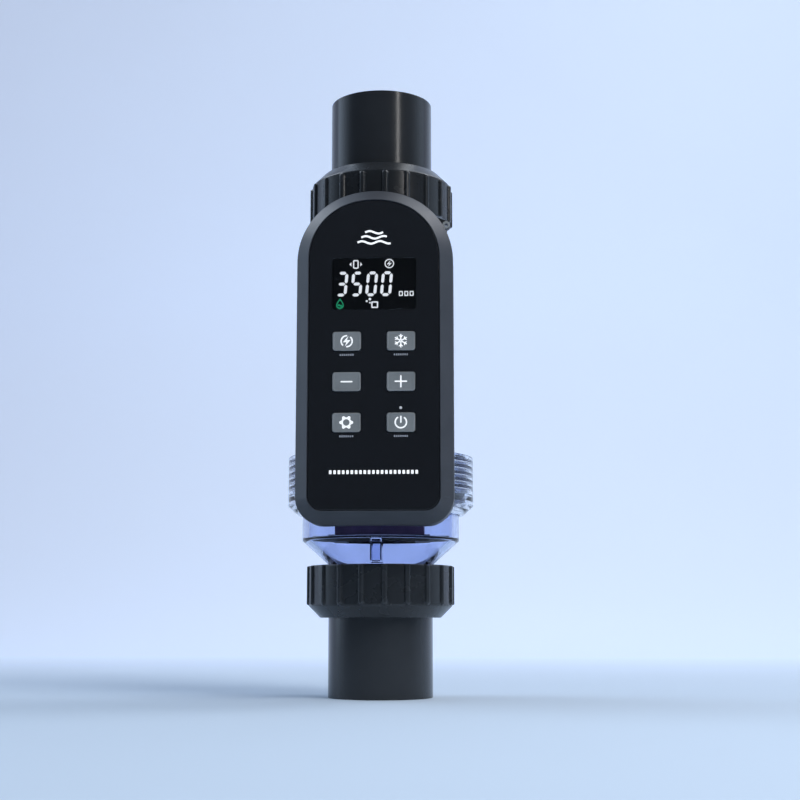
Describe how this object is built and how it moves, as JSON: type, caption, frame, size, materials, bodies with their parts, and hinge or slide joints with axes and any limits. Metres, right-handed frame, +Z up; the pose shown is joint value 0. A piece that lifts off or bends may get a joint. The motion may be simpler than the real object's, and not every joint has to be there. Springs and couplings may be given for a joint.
{
  "type": "salt chlorine generator",
  "caption": "Inline pool salt chlorine generator: clear electrolysis cell with screwed unions at both ends and a keypad controller on its front.",
  "frame": {"origin": "centre of the lower pipe end, on the flow axis", "axes": "+Z up along the flow axis towards the upper pipe end, -Y out of the controller's front, +X to the right of someone who faces the controller"},
  "size_m": [0.1128, 0.1264, 0.3686],
  "materials": {
    "union_plastic": "satin black pipe plastic",
    "nut_plastic": "satin black moulded plastic",
    "seal_rubber": "matt black rubber",
    "blue_clear": "clear blue-tinted polycarbonate",
    "ring_clear": "clear polycarbonate with a faint blue tint",
    "comb_plastic": "matt black plastic",
    "titanium": "bare titanium",
    "coated_plate": "dark metal-oxide coating",
    "brass": "plain brass",
    "copper": "tinned copper",
    "magnet": "nickel plate",
    "bezel_plastic": "satin charcoal plastic",
    "case_plastic": "satin black plastic",
    "panel_gloss": "gloss black overlay",
    "window_smoke": "smoked window",
    "display_black": "matt black",
    "light_pipe": "white light pipe",
    "key_grey": "mid grey plastic",
    "board_green": "green solder mask",
    "switch_grey": "black and steel switches",
    "relay_blue": "blue relay cases",
    "capacitor_dark": "dark blue sleeves",
    "aluminium": "extruded aluminium",
    "block_green": "green terminal block",
    "screw_steel": "bright steel"
  },
  "bodies": {
    "cell": {"lower_tailpiece": "union_plastic", "lower_union_seal": "seal_rubber", "upper_tailpiece": "union_plastic", "upper_union_seal": "seal_rubber", "lower_housing": "blue_clear", "upper_housing": "blue_clear", "housing_seal": "seal_rubber", "lower_plate_comb": "comb_plastic", "upper_plate_comb": "comb_plastic", "anode_strap": "titanium", "cathode_strap": "titanium", "terminal_posts": "titanium", "terminal_seals": "seal_rubber", "terminal_nuts": "brass", "terminal_leads": "copper", "paddle_bracket": "comb_plastic", "paddle_pin": "titanium", "reed_sensor": "comb_plastic", "front_shell": "bezel_plastic", "back_shell": "case_plastic", "shell_gasket": "seal_rubber", "pad_gasket": "seal_rubber", "front_panel": "panel_gloss", "display_window": "window_smoke", "display_module": "display_black", "status_light": "light_pipe", "control_board": "board_green", "key_switches": "switch_grey", "relays": "relay_blue", "capacitors": "capacitor_dark", "heat_sink": "aluminium", "buzzer": "comb_plastic", "terminal_block": "block_green", "board_screws": "screw_steel", "shell_screws": "screw_steel", "pad_screws": "screw_steel", "gland_body": "case_plastic", "gland_insert": "seal_rubber", "gland_nut": "case_plastic", "electrode_plate_1": "coated_plate", "electrode_plate_2": "coated_plate", "electrode_plate_3": "coated_plate", "electrode_plate_4": "coated_plate", "electrode_plate_5": "coated_plate", "electrode_plate_6": "coated_plate", "electrode_plate_7": "coated_plate"},
    "lower_nut": {"lower_union_nut": "nut_plastic"},
    "upper_nut": {"upper_union_nut": "nut_plastic"},
    "ring": {"lock_ring": "ring_clear"},
    "paddle": {"flow_paddle": "comb_plastic", "paddle_magnet": "magnet"},
    "key_boost": {"key_boost": "key_grey"},
    "key_winter": {"key_winter": "key_grey"},
    "key_minus": {"key_minus": "key_grey"},
    "key_plus": {"key_plus": "key_grey"},
    "key_settings": {"key_settings": "key_grey"},
    "key_power": {"key_power": "key_grey"}
  },
  "joints": [
    {"name": "lower_nut_turn", "type": "hinge", "parent": "cell", "child": "lower_nut", "pos_m": [0, 0, 0.0625], "axis": [0, 0, 1], "continuous": true},
    {"name": "upper_nut_turn", "type": "hinge", "parent": "cell", "child": "upper_nut", "pos_m": [0, 0, 0.3061], "axis": [0, 0, 1], "continuous": true},
    {"name": "lock_ring_turn", "type": "hinge", "parent": "cell", "child": "ring", "pos_m": [0, 0, 0.126], "axis": [0, 0, 1], "continuous": true},
    {"name": "key_boost_press", "type": "slide", "parent": "cell", "child": "key_boost", "axis": [0, 1, 0], "range_m": [0, 0.0005], "stiffness_N_per_m": 1500, "springref_m": -0.0004},
    {"name": "key_winter_press", "type": "slide", "parent": "cell", "child": "key_winter", "axis": [0, 1, 0], "range_m": [0, 0.0005], "stiffness_N_per_m": 1500, "springref_m": -0.0004},
    {"name": "key_minus_press", "type": "slide", "parent": "cell", "child": "key_minus", "axis": [0, 1, 0], "range_m": [0, 0.0005], "stiffness_N_per_m": 1500, "springref_m": -0.0004},
    {"name": "key_plus_press", "type": "slide", "parent": "cell", "child": "key_plus", "axis": [0, 1, 0], "range_m": [0, 0.0005], "stiffness_N_per_m": 1500, "springref_m": -0.0004},
    {"name": "key_settings_press", "type": "slide", "parent": "cell", "child": "key_settings", "axis": [0, 1, 0], "range_m": [0, 0.0005], "stiffness_N_per_m": 1500, "springref_m": -0.0004},
    {"name": "key_power_press", "type": "slide", "parent": "cell", "child": "key_power", "axis": [0, 1, 0], "range_m": [0, 0.0005], "stiffness_N_per_m": 1500, "springref_m": -0.0004},
    {"name": "paddle_lift", "type": "hinge", "parent": "cell", "child": "paddle", "pos_m": [0, -0.032, 0.258], "axis": [1, 0, 0], "range_deg": [0, 50]}
  ]
}
